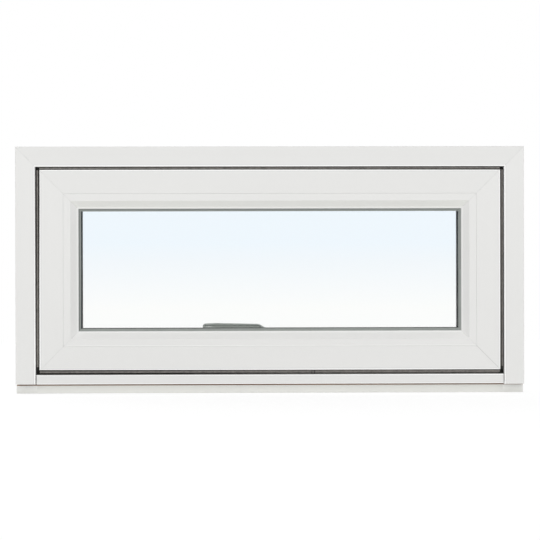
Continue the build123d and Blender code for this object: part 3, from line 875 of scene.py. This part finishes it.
# The second screw is a copy on the hub's other side, turned a little further
bpy.ops.object.duplicate(linked=False)
other_screw = bpy.context.active_object
other_screw.name = "backplate_screw_left"
bpy.ops.object.mode_set(mode="EDIT")
bpy.ops.mesh.select_all(action="SELECT")
bpy.ops.transform.translate(value=(-2 * screw_across, 0, 0))
bpy.ops.transform.rotate(
    value=math.radians(second_screw_turn),
    orient_axis="Y",
    center_override=(-screw_across, plate_face, screw_height),
)
bpy.ops.object.mode_set(mode="OBJECT")
bpy.ops.object.select_all(action="DESELECT")
for piece in (screw, other_screw):
    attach(piece, "window")


# Side stays, espagnolette and keepers: pressed steel with pale zinc plate. The stays sit in the gaps beside
# the sash and carry it, and the espagnolette in the bottom rail locks into the keepers on the sill.
zinc_plate_dark = (0.52, 0.53, 0.53)
zinc_plate_light = (0.64, 0.65, 0.64)
zinc_plate_rough = 0.30
stay_parts = ("track", "slider", "link", "arm")
stay_pieces = [f"stay_{side}_{part}" for side in ("left", "right") for part in stay_parts]
zinc_plate = satin_metal("zinc_plate", zinc_plate_dark, zinc_plate_light, zinc_plate_rough)
dress(stay_pieces + ["espagnolette", "keeper_left", "keeper_right"], zinc_plate)


# Floor and light: a pale floor and a white surround, lit from the front and, more weakly, from the room by
# two broad soft lamps. The surround is white to the eye, in gloss and through glass, and gives an even and
# softer light to the rest.
floor_size = 5.2
floor_look = 0.30
floor_glow = 0.80
floor_bounce = 0.5
floor_bounce_glow = 0.26
surround_light = 0.5
light_angle = 80.0
front_light_strength = 1.65
front_light_rise = 6.0
room_light_strength = 1.15
room_light_rise = 14.0
room_light_turn = 200.0


def seen_directly(tree):
    """One for what the camera sees, also in gloss and through glass."""
    path = tree.nodes.new("ShaderNodeLightPath")
    rays = ("Is Camera Ray", "Is Glossy Ray", "Is Transmission Ray")
    return put_any(tree, *(path.outputs[ray] for ray in rays))


def lit_and_glowing(tree, grey, strength):
    """A matt grey shader with a white glow of its own."""
    matt = put_node(tree, "ShaderNodeBsdfDiffuse", values={"Color": (grey, grey, grey, 1)})
    glow = put_node(tree, "ShaderNodeEmission", values={"Strength": strength})
    both = tree.nodes.new("ShaderNodeAddShader")
    tree.links.new(matt.outputs[0], both.inputs[0])
    tree.links.new(glow.outputs[0], both.inputs[1])
    return both.outputs[0]


def even_white(tree, strength):
    """A white background of one strength."""
    look = {"Color": (1, 1, 1, 1), "Strength": strength}
    return put_node(tree, "ShaderNodeBackground", values=look).outputs[0]


def choose_shader(tree, output_kind, unseen, seen):
    """One shader for what is seen directly and another for the light that it gives."""
    which = tree.nodes.new("ShaderNodeMixShader")
    out = tree.nodes.new(output_kind)
    tree.links.new(seen_directly(tree), which.inputs[0])
    tree.links.new(unseen, which.inputs[1])
    tree.links.new(seen, which.inputs[2])
    tree.links.new(which.outputs[0], out.inputs["Surface"])


bpy.ops.object.select_all(action="DESELECT")
bpy.ops.mesh.primitive_plane_add(size=floor_size, location=(0, 0, 0))
floor = bpy.context.active_object
floor.name = "floor"
# The floor casts no shadow, because the lower half of each broad lamp shines up through it
floor.visible_shadow = False
floor_material = bpy.data.materials.new("pale_floor")
floor_material.use_nodes = True
tree = floor_material.node_tree
tree.nodes.clear()
floor_unseen = lit_and_glowing(tree, floor_bounce, floor_bounce_glow)
floor_seen = lit_and_glowing(tree, floor_look, floor_glow)
choose_shader(tree, "ShaderNodeOutputMaterial", floor_unseen, floor_seen)
floor.data.materials.append(floor_material)

world = bpy.data.worlds.new("white_surround")
bpy.context.scene.world = world
world.use_nodes = True
tree = world.node_tree
tree.nodes.clear()
choose_shader(tree, "ShaderNodeOutputWorld", even_white(tree, surround_light), even_white(tree, 1.0))

for name, strength, rise, turn in (
    ("front_light", front_light_strength, front_light_rise, 0.0),
    ("room_light", room_light_strength, room_light_rise, room_light_turn),
):
    light_data = bpy.data.lights.new(name, "SUN")
    light_data.energy = strength
    light_data.angle = math.radians(light_angle)
    light = bpy.data.objects.new(name, light_data)
    light.rotation_euler = (math.radians(90 - rise), 0, math.radians(turn))
    light.visible_glossy = False
    light.visible_transmission = False
    bpy.context.scene.collection.objects.link(light)

bpy.context.scene.view_settings.view_transform = "Standard"
